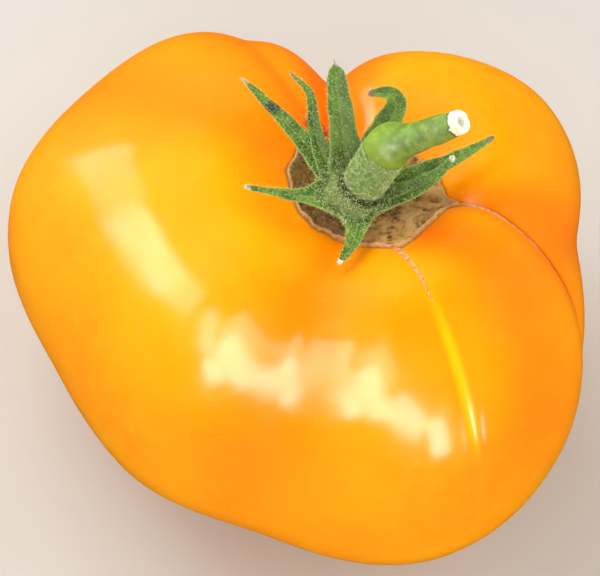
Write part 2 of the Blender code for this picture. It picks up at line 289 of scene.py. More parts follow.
def read_measure(tree, source):
    """The output that carries what a colour or a bump goes by."""
    if isinstance(source, str):
        return add(tree, "Attribute", "Fac", {}, attribute_name=source)
    if isinstance(source, Frayed):
        fray = read_measure(tree, Cloud(source.size))
        inputs = {0: fray, 1: source.amount, 2: read_measure(tree, source.measure)}
        return add(tree, "Math", 0, inputs, operation="MULTIPLY_ADD")
    place = add(tree, "TexCoord", "Object", {})
    if isinstance(source, Vector):
        return add(tree, "VectorMath", "Value", {0: place, 1: source}, operation="DISTANCE")
    if isinstance(source, Dots):
        return add(tree, "TexVoronoi", "Distance", {"Vector": place, "Scale": 1 / source.spacing})
    inputs = {
        "Vector": place,
        "Scale": 1 / source.size,
        "Detail": source.detail,
        "Roughness": source.roughness,
    }
    return add(tree, "TexNoise", "Fac", inputs)


def shown(tree, *fades):
    """The share at which something shows: the product of its fades. A fade can also be a bare
    measure, which is then a share itself."""
    share = None
    for fade in fades:
        if isinstance(fade, Fade):
            inputs = {
                "Value": read_measure(tree, fade.measure),
                "From Min": fade.low,
                "From Max": fade.high,
                "To Min": fade.at_low,
                "To Max": fade.at_high,
            }
            part = add(tree, "MapRange", "Result", inputs, interpolation_type="SMOOTHSTEP")
        else:
            part = read_measure(tree, fade)
        if share:
            part = add(tree, "Math", 0, {0: share, 1: part}, operation="MULTIPLY")
        share = part
    return share


def paint(tree, under, coats):
    """Lays coats of colour over a first one. A coat is its name, its colour, which can be painted in
    the same way, and the fades that say where it shows."""
    colour = linear(under)
    for name, over, *fades in coats:
        over = paint(tree, *over) if isinstance(over, tuple) else linear(over)
        inputs = {"Factor": shown(tree, *fades), MIX_A: colour, MIX_B: over}
        colour = add(tree, "Mix", MIX_RESULT, inputs, data_type="RGBA", label=name)
    return colour


def flesh(weight, radius, scale):
    """Shader values for how far light spreads under the surface."""
    return {"Subsurface Weight": weight, "Subsurface Radius": radius, "Subsurface Scale": scale}


def make_material(name, under, coats, bumps, values):
    """A material: its painted colour, its stacked bumps, and the values of its shader's sockets. A
    clear coat follows the same bumps."""
    material = bpy.data.materials.new(name)
    material.use_nodes = True
    tree = material.node_tree
    shader = tree.nodes["Principled BSDF"]
    tree.links.new(paint(tree, under, coats), shader.inputs["Base Color"])
    for socket, value in values.items():
        if isinstance(value, Fade):
            tree.links.new(shown(tree, value), shader.inputs[socket])
        else:
            shader.inputs[socket].default_value = value
    normal = None
    for bump in bumps:
        inputs = {
            "Height": shown(tree, bump.height),
            "Distance": bump.depth,
            "Strength": bump.strength,
        }
        if normal:
            inputs["Normal"] = normal
        normal = add(tree, "Bump", "Normal", inputs)
    if normal:
        tree.links.new(normal, shader.inputs["Normal"])
    if normal and "Coat Weight" in values:
        tree.links.new(normal, shader.inputs["Coat Normal"])
    return material


def ease(value):
    """0 below 0, 1 above 1, and a smooth step between."""
    value = min(max(value, 0.0), 1.0)
    return value * value * (3 - 2 * value)


def bell(away, width):
    """1 in the middle of a ridge or a furrow, and down to 0 on both sides."""
    return math.exp(-((away / width) ** 2))


def facing(azimuth):
    return Vector((math.cos(math.radians(azimuth)), math.sin(math.radians(azimuth)), 0))


def turn_between(azimuth, other):
    """The signed angle from other to azimuth, between -180 and 180."""
    return (azimuth - other + 180) % 360 - 180


def around(rows, azimuth):
    """A smooth closed curve through (azimuth, value) rows in rising order, read at an azimuth."""
    count = len(rows)
    azimuth = (azimuth - rows[0][0]) % 360 + rows[0][0]
    low = max(index for index in range(count) if rows[index][0] <= azimuth)

    def row(index):
        turns, place = divmod(index, count)
        return rows[place][0] + 360 * turns, rows[place][1]

    (a0, v0), (a1, v1), (a2, v2), (a3, v3) = (row(low + step) for step in (-1, 0, 1, 2))
    span = a2 - a1
    share = (azimuth - a1) / span
    slope_1 = (v2 - v0) / (a2 - a0) * span
    slope_2 = (v3 - v1) / (a3 - a1) * span
    square, cube = share**2, share**3
    return (
        (2 * cube - 3 * square + 1) * v1
        + (cube - 2 * square + share) * slope_1
        + (3 * square - 2 * cube) * v2
        + (cube - square) * slope_2
    )


def crease_middle(crease, station):
    """The azimuth where a crease lies at a station."""
    onward = station - CREASE_STATION
    return crease.azimuth + crease.drift * onward + crease.bend * onward**2


def groove(away, rounding):
    """A groove's depth, from 1 in its middle down to 0."""
    return math.exp(-away * away / (away + rounding))


def crease_depth(azimuth, station):
    """How deep the creases press the skin in at this place."""
    total = 0.0
    for crease in CREASES:
        away = abs(turn_between(azimuth, crease_middle(crease, station))) / crease.half_width
        starts = ease(station / crease.start)
        ends = ease((crease.end - station) / (crease.end * CREASE_FADE))
        total += crease.depth * groove(away, crease.rounding) * starts * ends
    return total


def reach_at(azimuth, station):
    """How far the skin lies from the fruit's axis."""
    widening = max(math.sin(math.pi * station), 0.0) ** PROFILE_POWER
    return around(LOBE_REACH, azimuth) * widening


def from_crease(crease, azimuth, station):
    """The distance along the skin from a crease's line."""
    turn = abs(turn_between(azimuth, crease_middle(crease, station)))
    return math.radians(turn) * reach_at(azimuth, station)


def cut_depth(azimuth, station):
    """How deep the narrow cuts go in at this place."""
    total = 0.0
    for cut in CUTS:
        away = from_crease(cut.crease, azimuth, station) / cut.half_width
        fade = ease((station - cut.start) / CUT_FADE) * ease((cut.end - station) / CUT_FADE)
        total += cut.depth * groove(away, cut.rounding) * fade
    return total


def skin_point(azimuth, station):
    """The point of the finished skin at an azimuth and a station."""
    angle = math.pi * station
    sine, cosine = math.sin(angle), math.cos(angle)
    widening = max(sine, 0.0) ** PROFILE_POWER
    reach = around(LOBE_REACH, azimuth) * widening
    if station < GIRTH_STATION:
        lift = SHOULDER_LIFT * math.cos(math.radians(azimuth - SHOULDER_LIFT_AZIMUTH))
        height = SHOULDER_RISE * cosine**PROFILE_POWER + lift * widening * cosine
        height -= HOLLOW_DEPTH / (1 + (reach / HOLLOW_RADIUS) ** HOLLOW_POWER)
    else:
        height = -BLOSSOM_DROP * abs(cosine) ** PROFILE_POWER
    axis = Vector((SCAR_OFFSET * (1 + cosine) / 2, 0, GIRTH_HEIGHT))
    outward = facing(azimuth) * sine + UP * cosine
    point = axis + facing(azimuth) * reach + UP * height
    uneven = SWELL_HEIGHT * noise.noise(point / SWELL_SIZE)
    uneven += DIMPLE_HEIGHT * noise.noise(point / DIMPLE_SIZE)
    point += outward * (uneven - crease_depth(azimuth, station) - cut_depth(azimuth, station))
    point.z = max(point.z, 0.0)
    return point


def skin_normal(azimuth, station):
    """The skin's outward direction, from two small steps on it."""
    turn, step = 0.2, 0.001
    here = skin_point(azimuth, station)
    east = skin_point(azimuth + turn, station) - here
    down = skin_point(azimuth, station + step) - here
    return down.cross(east).normalized()


def station_at(azimuth, radius):
    """The station near the stem end where the skin is this far from the fruit's axis."""
    sine = (radius / around(LOBE_REACH, azimuth)) ** (1 / PROFILE_POWER)
    return math.asin(min(sine, 1.0)) / math.pi


def keep_inside(mesh_data, node):
    """Eases a mesh into its CAD node's box, where its fine relief stands a hair outside it."""
    low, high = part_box(node)
    for axis in range(3):
        places = [vertex.co[axis] for vertex in mesh_data.verts]
        least, most = min(places), max(places)
        new_least, new_most = max(least, low[axis]), min(most, high[axis])
        scale = (new_most - new_least) / (most - least)
        for vertex in mesh_data.verts:
            vertex.co[axis] = new_least + (vertex.co[axis] - least) * scale


def put(name, data):
    """An object in the scene from its data."""
    placed = bpy.data.objects.new(name, data)
    bpy.context.scene.collection.objects.link(placed)
    return placed


def put_mesh(name, mesh_data, material):
    """An object in the scene from mesh data."""
    mesh = bpy.data.meshes.new(name)
    mesh_data.to_mesh(mesh)
    mesh_data.free()
    mesh.materials.append(material)
    return put(name, mesh)


def make_piece(name, mesh_data, material, slot, *nodes):
    """A finished piece of the part from mesh data. It stands for the CAD nodes named."""
    piece = put_mesh(name, mesh_data, material)
    piece.data.shade_smooth()
    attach(piece, "root")
    if nodes:
        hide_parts(*nodes)
    return piece


def join_rings(mesh_data, first, second, closed=True):
    """Quads between two rows of vertices, or triangles where a row is one vertex over and over."""
    count = len(first)
    made = []
    for index in range(count if closed else count - 1):
        after = (index + 1) % count
        corners = (first[index], first[after], second[after], second[index])
        made.append(mesh_data.faces.new(tuple(dict.fromkeys(corners))))
    return made


def join_rows(mesh_data, rows):
    """Faces between each closed row of vertices and the next."""
    return [face for pair in zip(rows, rows[1:]) for face in join_rings(mesh_data, *pair)]


def fan(mesh_data, ring, middle):
    """Triangles from a ring of vertices to one in its middle."""
    return join_rings(mesh_data, ring, [middle] * len(ring))


def new_measures(mesh_data, *names):
    """Layers of a mesh for measures that the materials go by."""
    return [mesh_data.verts.layers.float.new(name) for name in names]


def finish_piece(name, mesh_data, material, slot, *nodes):
    """Turns a mesh's faces outwards and makes it a piece."""
    bmesh.ops.recalc_face_normals(mesh_data, faces=mesh_data.faces)
    return make_piece(name, mesh_data, material, slot, *nodes)


# The fruit


def scar_radius(azimuth):
    """The scar's outline, ragged and with its pointed corners."""
    radius = around(SCAR_OUTLINE, azimuth)
    for point in SCAR_POINTS:
        away = abs(turn_between(azimuth, point.azimuth)) / point.half_width
        radius += point.reach * max(1 - away, 0.0) ** 2
    for closeness, depth in SCAR_BAYS:
        radius += depth * noise.noise(facing(azimuth) * closeness)
    return radius


def skin_measures(azimuth, station):
    """What the skin's colours go by at this place."""
    radius = reach_at(azimuth, station)
    turn = abs(turn_between(azimuth, crease_middle(RIGHT_VALLEY, station)))
    fades = ease((RIGHT_VALLEY.end - station) / RIGHT_VALLEY.end)
    on_top = station < GIRTH_STATION
    return {
        "front_line": min(from_crease(FRONT_LINE, azimuth, station), LINE_REACH),
        "right_fold": min(from_crease(RIGHT_FOLD, azimuth, station), LINE_REACH),
        "right_valley_shade": VALLEY_SHADE * ease(1 - turn / VALLEY_SPREAD) * fades,
        "from_scar": radius - scar_radius(azimuth) if on_top else HOLLOW_RADIUS,
        "crease": crease_depth(azimuth, station),
        "from_blossom_end": HOLLOW_RADIUS if on_top else radius,
        "station": station,
    }


def build_fruit_skin():
    """A flat chart of the skin, made finer along the sharp creases, then wrapped round the fruit."""
    chart = bmesh.new()
    bmesh.ops.create_grid(
        chart, x_segments=SKIN_MERIDIANS, y_segments=SKIN_PARALLELS, size=1.0
    )

    def place_of(spot):
        """The azimuth and station of a spot of the chart. Close to the back notch its lines turn
        with the notch."""
        azimuth, station = 180 * spot.x, ((spot.y + 1) / 2) ** PARALLEL_CROWDING
        near = ease(1 - abs(turn_between(azimuth, BACK_NOTCH.azimuth)) / TURN_SPAN)
        turn = BACK_NOTCH.drift * (min(station, TURN_END) - CREASE_STATION)
        return azimuth + near * turn, station

    for _ in range(FINE_PASSES):
        close = []
        for edge in chart.edges:
            azimuth, station = place_of((edge.verts[0].co + edge.verts[1].co) / 2)
            if any(
                cut.start <= station <= cut.end
                and from_crease(cut.crease, azimuth, station) < FINE_BAND
                for cut in CUTS
            ):
                close.append(edge)
        bmesh.ops.subdivide_edges(chart, edges=close, cuts=1, use_grid_fill=True)
    names = skin_measures(0, GIRTH_STATION).keys()
    layers = dict(zip(names, new_measures(chart, *names)))
    for vertex in chart.verts:
        azimuth, station = place_of(vertex.co)
        for name, value in skin_measures(azimuth, station).items():
            vertex[layers[name]] = value
        vertex.co = skin_point(azimuth, station)
    bmesh.ops.remove_doubles(chart, verts=chart.verts, dist=SKIN_MERGE)
    bmesh.ops.recalc_face_normals(chart, faces=chart.faces)
    keep_inside(chart, "fruit")
    return make_piece("fruit_skin", chart, tomato_skin(), "tomato_skin", "fruit")


def tomato_skin():
    """Ripe tomato skin: a smooth waxy cuticle over orange flesh. The clear wax shows lamps as soft
    patches of their own shape, and the flesh under it scatters them in a wide golden glow."""
    coats = (
        ("broad_patches", "#FFA100", Fade(Cloud(26 * MM), 0.35, 0.65)),
        ("fine_patches", "#FFA700", Fade(Cloud(3 * MM, 3.0), 0.4, 0.75, 0.0, 0.35)),
        *(("tint", tint.colour, Fade(tint.spot, 0.0, tint.reach, tint.share, 0.0)) for tint in TINTS),
        # Painted shade: a deeper orange down in the creases
        ("painted_crease_shade", "#FF7800", Fade("crease", 0.15 * MM, 3 * MM, 0.0, 0.8)),
        # Painted shade: a deeper orange along the right valley
        ("right_valley_shade", "#FF6C00", "right_valley_shade"),
        # Painted shade: a deeper orange where the skin turns down into the hollow round the scar
        ("scar_rim_shade", "#FF7600", Fade("from_scar", 0.0, 9 * MM, 0.18, 0.0)),
        # Painted light: a yellow streak along the front line, on its slope that catches the light
        (
            "front_streak_light", "#FFC400", Fade("front_line", 0.1 * MM, 1.4 * MM, 0.85, 0.0),
            Fade("station", 0.12, 0.24), Fade("station", 0.30, 0.38, 1.0, 0.0),
        ),
        # Painted shade: a dark thin line down in the right fold
        (
            "fold_shade", "#C25A08", Fade("right_fold", 0.25 * MM, 0.9 * MM, 0.85, 0.0),
            Fade("station", 0.30, 0.60, 1.0, 0.0),
        ),
        ("scar_edge", "#B5691C", Fade("from_scar", 0.05 * MM, 0.4 * MM, 0.7, 0.0)),
        (
            "russet_net", "#6E4A1E", Fade(RUSSET, RUSSET_REACH / 2, RUSSET_REACH, 1.0, 0.0),
            Fade(Cloud(0.9 * MM, 4.0, 0.7), 0.36, 0.52),
        ),
        ("flecks", "#FFB52E", Fade(Dots(2.6 * MM), 0.05, 0.11, 0.3, 0.0)),
        ("blossom_scar", "#7A5530", Fade("from_blossom_end", 1.2 * MM, 2.6 * MM, 1.0, 0.0)),
    )
    bumps = (
        Bump(Cloud(4 * MM), 0.12 * MM, 0.16),
        Bump(Cloud(1.1 * MM), 0.05 * MM, 0.14),
        Bump(Cloud(0.35 * MM, 1.0), 0.02 * MM, 0.10),
    )
    values = {
        "Roughness": 0.5, "IOR": 1.45,
        "Specular IOR Level": 0.3, "Specular Tint": linear("#FFD000"),
        "Coat Weight": 0.45, "Coat IOR": 1.45,
        "Coat Roughness": Fade(Cloud(6 * MM), 0.3, 0.7, 0.14, 0.22),
        **flesh(0.15, (1.0, 0.35, 0.05), 2.0 * MM),
    }
    return make_material("waxy_tomato_skin", "#FF9400", coats, bumps, values)


# The corky scar


def build_scar():
    """A fibrous crust in the hollow, with a raised lip and edges that run down into the skin."""
    mesh_data = bmesh.new()
    hollow, lip, east = new_measures(mesh_data, "hollow", "lip", "east")
    upper, under = [], []
    for ring in range(SCAR_RINGS + 1):
        share = ring / SCAR_RINGS
        near_lip = bell(share - LIP_PLACE, LIP_SPREAD)
        edge = ease((1 - share) / CRUST_EDGE)
        top_row, under_row = [], []
        for spoke in range(SCAR_SPOKES if ring else 1):
            azimuth = 360 * spoke / SCAR_SPOKES
            radius = share * scar_radius(azimuth)
            base = skin_point(azimuth, station_at(azimuth, radius))
            fibre = noise.noise(facing(azimuth) * FIBRE.size + UP * radius / FIBRE_LENGTH)
            thread = noise.noise(facing(azimuth) * THREAD.size + UP * radius / THREAD_LENGTH)
            clod = noise.noise(base / CLOD.size)
            net = NET_LEVEL - abs(noise.noise(base / NET.size + UP * NET_SHIFT))
            relief = ((FIBRE, fibre), (THREAD, thread), (CLOD, clod), (NET, net))
            height = SCAR_BODY + SCAR_LIP * near_lip * (LIP_EVENNESS + LIP_LUMPS * clod)
            height += sum(part.height * lump for part, lump in relief) - CRUST_SETTLING
            top = mesh_data.verts.new(base + UP * (height * edge - CRUST_SINK))
            bottom = mesh_data.verts.new(base - UP * SCAR_SINK)
            # Painted shade: the crust darkens where its relief sinks, over the cork's own dark pits
            top[hollow] = PIT_DARKNESS - sum(part.darkness * lump for part, lump in relief)
            top[lip] = LIP_TONE * near_lip
            top[east] = bottom[east] = base.x
            top_row.append(top)
            under_row.append(bottom)
        full = SCAR_SPOKES // len(top_row)
        upper.append(top_row * full)
        under.append(under_row * full)
    for rows in (upper, under):
        join_rows(mesh_data, rows)
    join_rings(mesh_data, upper[-1], under[-1])
    return finish_piece("scar_crust", mesh_data, scar_cork(), "corky_scar", "corky_scar")


def scar_cork():
    """Cork that a plant grows over a wound: dry, matt and fibrous, tan on its ridges and dark brown
    in its pits, partly as painted shade, with painted shade on its side towards -X and no gloss at
    all."""
    coats = (
        ("patches", "#D2A768", Fade(Cloud(3.5 * MM, 3.0), 0.35, 0.65)),
        # The cork's own dark brown in its pits, deepened by painted shade where the relief sinks
        ("pits", "#4E3414", Fade("hollow", 0.5, 1.1, 0.0, 0.85)),
        # Painted shade on the crust's side towards -X, where the sepals over it shade it
        ("shaded_side", "#4F3A0C", Fade("east", 4 * MM, 16 * MM, 0.82, 0.0)),
        ("specks", "#6B4A20", Fade(Cloud(0.7 * MM, 3.0, 0.7), 0.55, 0.68, 0.0, 0.4)),
        ("pale_specks", "#D2A874", Fade(Cloud(0.9 * MM, 3.0, 0.7), 0.60, 0.72, 0.0, 0.55)),
        ("lip", "#DDAF74", "lip"),
    )
    bumps = (
        Bump(Cloud(0.8 * MM, 4.0, 0.65), 0.25 * MM, 0.7),
        Bump(Cloud(0.3 * MM), 0.08 * MM, 0.5),
    )
    values = {"Roughness": 0.9, "IOR": 1.4, "Specular IOR Level": 0.2}
    return make_material("dry_scar_cork", "#BA8C4A", coats, bumps, values)


CorkLine = namedtuple("CorkLine", "name crease start end half_width")
CORK_LINES = (
    CorkLine("cork_line_right", RIGHT_FOLD, 0.105, 0.30, 0.62 * MM),
    CorkLine("cork_line_front", FRONT_LINE, 0.071, 0.165, 0.45 * MM),
)
CORK_LINE_STEPS = 150
CORK_LINE_COLUMNS = 9
CORK_LINE_HEIGHT = 0.14 * MM
CORK_LINE_SINK = 0.02 * MM
CORK_LINE_LEAST = 0.03 * MM
CORK_THINNING = 0.6
CORK_LOWERING = 0.5
CORK_BEAD = 0.55 * MM
CORK_BEAD_WIDENING = 0.5
CORK_BEAD_RISE = 0.6
CORK_SWAY = 0.12 * MM
CORK_SWAY_LENGTH = 1.5 * MM
CORK_STEP_AHEAD = 0.004


def build_cork_line(line, material):
    """A beaded thread of cork that lies in the bottom of a crease and thins out along it."""
    mesh_data = bmesh.new()
    rows = []
    for step in range(CORK_LINE_STEPS + 1):
        share = step / CORK_LINE_STEPS
        station = line.start + (line.end - line.start) * share
        azimuth = crease_middle(line.crease, station)
        middle = skin_point(azimuth, station)
        normal = skin_normal(azimuth, station)
        further = station + CORK_STEP_AHEAD
        ahead = skin_point(crease_middle(line.crease, further), further)
        across = (ahead - middle).cross(normal).normalized()
        bead = noise.noise(middle / CORK_BEAD)
        half_width = line.half_width * (1 - share) ** CORK_THINNING * (1 + CORK_BEAD_WIDENING * bead)
        half_width += CORK_LINE_LEAST
        crown = CORK_LINE_HEIGHT * (1 - CORK_LOWERING * share) * (1 + CORK_BEAD_RISE * bead)
        core = middle + across * (CORK_SWAY * noise.noise(middle / CORK_SWAY_LENGTH))
        row = []
        for column in range(CORK_LINE_COLUMNS):
            angle = math.pi * column / (CORK_LINE_COLUMNS - 1)
            aside = across * (half_width * math.cos(angle))
            row.append(core + aside + normal * (crown * math.sin(angle) - CORK_LINE_SINK))
        for side in (-1, 1):
            row.append(core + across * (side * half_width) - normal * SCAR_SINK / 2)
        rows.append([mesh_data.verts.new(spot) for spot in row])
    join_rows(mesh_data, rows)
    for end in (rows[0], rows[-1]):
        mesh_data.faces.new(end)
    return finish_piece(line.name, mesh_data, material, "corky_scar")


def line_cork():
    """The same dry cork where it is only a thread: paler and pinker, because flesh shows through."""
    coats = (("patches", "#DCA268", Fade(Cloud(0.8 * MM), 0.38, 0.62)),)
    bumps = (Bump(Cloud(0.3 * MM), 0.1 * MM, 0.5),)
    values = {"Roughness": 0.8, "IOR": 1.4, "Specular IOR Level": 0.2}
    return make_material("thin_line_cork", "#C0803E", coats, bumps, values)


# The calyx


def sepal_width(sepal, station):
    """A sepal's outline: a root that flares towards the next ones, and a narrower tip."""
    flare = 1 + sepal.flare * ease(1 - station / SEPAL_FLARE_END)
    taper = 1 - (1 - sepal.tip) * station**sepal.taper
    return sepal.width * flare * taper


def sepal_line(sepal):
    """The stations, points and directions of a sepal's midrib from its root to its tip."""
    point = SEPAL_ORIGIN + SEPAL_START * facing(sepal.heading)
    step = sepal.length / SEPAL_ROWS
    line = []
    for row in range(SEPAL_ROWS + 1):
        station = row / SEPAL_ROWS
        close_to_tip = ease((station - SEPAL_HOOK_STATION) / SEPAL_HOOK_SPAN)
        heading = sepal.heading + sepal.sweep * station + sepal.hook * close_to_tip
        rise = math.radians(sepal.rise + sepal.curl * station + sepal.nod * close_to_tip)
        along = facing(heading) * math.cos(rise) + UP * math.sin(rise)
        line.append((station, point.copy(), along))
        point += along * step
    return line


def build_sepal(sepal, number, material):
    """A leafy blade with a raised midrib below, a furrow above, thin wavy edges, a thick root, and a
    rounded end that carries a small dry bead on some."""
    mesh_data = bmesh.new()
    measures = new_measures(mesh_data, "along", "aside", "tip_tone")
    sides = [2 * column / (SEPAL_COLUMNS - 1) - 1 for column in range(SEPAL_COLUMNS)]
    rows = []
    for station, point, along in sepal_line(sepal):
        across = along.cross(UP).normalized()
        upward = across.cross(along).normalized()
        left = (1 - station) * sepal.length
        to_end = min(left / SEPAL_END_ROUNDING, 1.0)
        closing = math.sqrt(max(1 - (1 - to_end) ** 2, 0.0))
        closing = TIP_BLUNTNESS + (1 - TIP_BLUNTNESS) * closing
        full_width = sepal_width(sepal, station)
        full_width *= 1 - sepal.wither * ease((station - WITHER_START) / WITHER_SPAN)
        fullness = min(full_width / sepal.width, 1)
        past_root = ease(station / ROOT_END)
        blade = (BLADE_THICKNESS + ROOT_THICKENING * (1 - past_root)) * closing
        blade *= 1 - NARROW_THINNING * (1 - fullness)
        wave = Vector((station * sepal.length / SEPAL_WAVE_LENGTH, number * NEXT_SEPAL_SHIFT, 0))
        from_bead = (left - sepal.bead) / max(sepal.bead, LEAST_BEAD)
        bead = sepal.bead * math.sqrt(max(1 - from_bead * from_bead, 0.0))
        upper, under = [], []
        for side in sides:
            ragged = 1 + SEPAL_RAGGEDNESS * noise.noise(wave + UP * side * RAGGED_SHIFT)
            half_width = max(0.5 * full_width * ragged * closing, bead)
            lift = SEPAL_FOLD * half_width * abs(side) ** SEPAL_FOLD_POWER
            lift *= ease(station / SEPAL_FOLD_START)
            ripple = noise.noise(wave * RIPPLE_STRETCH + UP * (RIPPLE_SHIFT + side))
            lift += SEPAL_RIPPLE * ripple * side * side * fullness
            middle = point + across * (side * half_width) + upward * lift
            round_bead = 2 * bead * math.sqrt(max(1 - side * side, 0.0))
            thick = max(blade * (1 - EDGE_THINNING * side * side), round_bead)
            furrow = FURROW_DEPTH * bell(side, FURROW_WIDTH) * past_root * closing
            rib = RIB_HEIGHT * bell(side, RIB_WIDTH) * fullness * closing
            upper.append(middle + upward * (0.5 * thick - furrow))
            under.append(middle - upward * (0.5 * thick + rib))
        row = []
        for spot, side in zip(upper + under[::-1], sides + sides[::-1]):
            vertex = mesh_data.verts.new(spot)
            for layer, value in zip(measures, (station, abs(side), sepal.tone)):
                vertex[layer] = value
            row.append(vertex)
        rows.append(row)
    join_rows(mesh_data, rows)
    for end in (rows[0], rows[-1]):
        facing_row = end[SEPAL_COLUMNS:][::-1]
        join_rings(mesh_data, end[:SEPAL_COLUMNS], facing_row, closed=False)
    return finish_piece(sepal.name, mesh_data, material, "calyx_green")


HUB_SIDES = 160
HUB_RINGS = 40
# The hub swells towards each sepal: how wide, how far its base spreads and how far it bulges
SWELLING_WIDTH = 15
HUB_EVEN_SPREAD = 0.94
HUB_SWELLING_SPREAD = 0.07
HUB_EVEN_BULGE = 0.25 * MM
HUB_SWELLING_BULGE = 0.45 * MM
HUB_BULGE_RISE = 0.5
# The hub's roughness: the size of its lumps, and their height
HUB_LUMPS = ((0.9 * MM, 0.22 * MM), (0.4 * MM, 0.16 * MM))


def build_hub(material):
    """The fused roots of the sepals round the foot of the stalk, swollen towards each sepal."""
    mesh_data = bmesh.new()
    along, _ = new_measures(mesh_data, "along", "aside")
    lean = UP.rotation_difference(KNUCKLE - HUB_TOP)
    rings = []
    for ring in range(HUB_RINGS + 1):
        share = ring / HUB_RINGS
        between = math.sin(math.pi * share)
        row = []
        for side in range(HUB_SIDES):
            azimuth = 360 * side / HUB_SIDES
            out = facing(azimuth)
            swelling = sum(
                bell(turn_between(azimuth, sepal.heading), SWELLING_WIDTH) for sepal in SEPALS
            )
            spread = HUB_EVEN_SPREAD + HUB_SWELLING_SPREAD * swelling
            bulge = (HUB_EVEN_BULGE + HUB_SWELLING_BULGE * swelling) * between
            base = HUB_BASE + out * HUB_BASE_RADIUS * spread
            spot = base.lerp(HUB_TOP + lean @ (out * HUB_TOP_RADIUS), share)
            spot += (out + UP * HUB_BULGE_RISE) * bulge
            rough = sum(height * noise.noise(spot / size) for size, height in HUB_LUMPS)
            vertex = mesh_data.verts.new(spot + (out + UP) * (rough * between))
            vertex[along] = -share
            row.append(vertex)
        rings.append(row)
    join_rows(mesh_data, rings)
    for end in (rings[0], rings[-1]):
        middle = mesh_data.verts.new(sum((vertex.co for vertex in end), Vector()) / HUB_SIDES)
        middle[along] = end[0][along]
        fan(mesh_data, end, middle)
    return finish_piece("calyx_hub", mesh_data, material, "calyx_green", "calyx")


# A dark bluish-grey spot on the calyx, behind and to the left of the hub
DARK_SPOT = Vector((-1.3, 10.0, 61.8)) * MM
GLANDS = Fade(Dots(0.42 * MM), 0.2, 0.34, 1.0, 0.0)


def calyx_leaf():
    """A tomato sepal: a soft green leaf blade, matt from its down of fine hairs, with pale gland
    dots, lighter veins and edges, and a tip that has dried to the colour of straw."""
    dry_tip = ("#4A3A34", (("pale_tip", "#EADCC8", "tip_tone"),))
    coats = (
        ("patches", "#678A2C", Fade(Cloud(2.2 * MM, 3.0), 0.35, 0.65)),
        # Painted shade: darker green over the hub and the sepals' roots, where they crowd round the
        # stalk
        ("root", "#34470F", Fade("along", 0.0, 0.35, 0.8, 0.0)),
        ("vein", "#8FAA4A", Fade("aside", 0.04, 0.16, 0.5, 0.0)),
        ("margin", "#A9B85C", Fade("aside", 0.8, 1.0, 0.0, 0.55)),
        ("glands", "#C9D682", GLANDS, Fade("along", 0.0, 0.4, 0.85, 0.5)),
        # Painted shadow: near black on the top of the hub, in the gap round the foot of the stalk
        ("shadow_at_foot", "#1C260A", Fade("along", -1.0, -0.72, 0.9, 0.0)),
        ("dark_spot", "#2C3440", Fade(DARK_SPOT, 0.5 * MM, 1.7 * MM, 0.85, 0.0)),
        ("dry_tip", dry_tip, Fade(Frayed("along", 0.8 * MM, 0.10), 0.975, 1.01)),
    )
    bumps = (Bump(GLANDS, 0.10 * MM, 0.6), Bump(Cloud(0.6 * MM, 3.0), 0.15 * MM, 0.6))
    values = {
        "Roughness": 0.7, "IOR": 1.42, "Specular IOR Level": 0.25,
        **flesh(0.15, (0.4, 0.6, 0.15), 0.6 * MM),
        "Sheen Weight": 0.12, "Sheen Roughness": 0.5, "Sheen Tint": linear("#DCE8A0"),
    }
    return make_material("downy_sepal_leaf", "#45661E", coats, bumps, values)


# The stalk


def stalk_line():
    """Stations, points and radii down the middle of the stalk, from its foot to its cut end."""
    base = HUB_TOP + (KNUCKLE - HUB_TOP).normalized() * PIECE_GAP
    reach = CUT_END - KNUCKLE
    stations = [(base.lerp(KNUCKLE, share), radius) for share, radius in LOWER_LENGTH]
    stations += [(KNUCKLE + reach * share, radius) for share, radius in UPPER_LENGTH]
    stations.append((CUT_END, CUT_RADIUS))
    curve = bpy.data.curves.new("stalk_guide", "CURVE")
    curve.dimensions = "3D"
    spline = curve.splines.new("BEZIER")
    spline.bezier_points.add(len(stations) - 1)
    for control, (place, radius) in zip(spline.bezier_points, stations):
        control.co = place
        control.radius = radius
        control.handle_left_type = control.handle_right_type = "AUTO"
    guide = put("stalk_guide", curve)
    bpy.context.view_layer.update()
    line = []
    controls = spline.bezier_points
    for index in range(len(controls) - 1):
        first, second = controls[index], controls[index + 1]
        points = interpolate_bezier(
            first.co, first.handle_right, second.handle_left, second.co, STALK_STEPS + 1
        )
        for step, point in enumerate(points[:-1]):
            share = ease(step / STALK_STEPS)
            radius = first.radius + (second.radius - first.radius) * share
            line.append((index + step / STALK_STEPS, point.copy(), radius))
    line.append((len(controls) - 1, controls[-1].co.copy(), controls[-1].radius))
    bpy.data.objects.remove(guide)
    return line


# The stalk's fine form, in stations and in shares of its radius unless a length is given
STEP_SPAN = 0.16
RIB_COUNT = 5
RIB_TURN = 0.6
RIB_SHARE = 0.025
NECK_STATION = 1.2
NECK_DEPTH = 0.12 * MM
KNUCKLE_SWELLING = 0.06 * MM
SWELLING_END = KNUCKLE_STATION + 0.2
SWELLING_SPAN = 1.2
UPPER_STATION = KNUCKLE_STATION + 0.5
UPPER_THINNING = 0.1
FOOT_SPAN = 0.35
FOOT_THINNING = 0.22
STALK_LUMP = 0.10 * MM
STALK_LUMP_SIZE = 1.6 * MM
PITH_LUMP = 0.3 * MM
PITH_LUMP_SIZE = 0.8 * MM
# The cut face, inwards from its rim: the share of the radius, and how far it bulges out
CUT_FACE = (
    (0.98, 0.14 * MM),
    (0.93, 0.28 * MM),
    (0.84, 0.42 * MM),
    (0.72, 0.50 * MM),
    (0.58, 0.42 * MM),
    (0.44, 0.16 * MM),
    (0.30, -0.12 * MM),
    (0.14, -0.22 * MM),
)


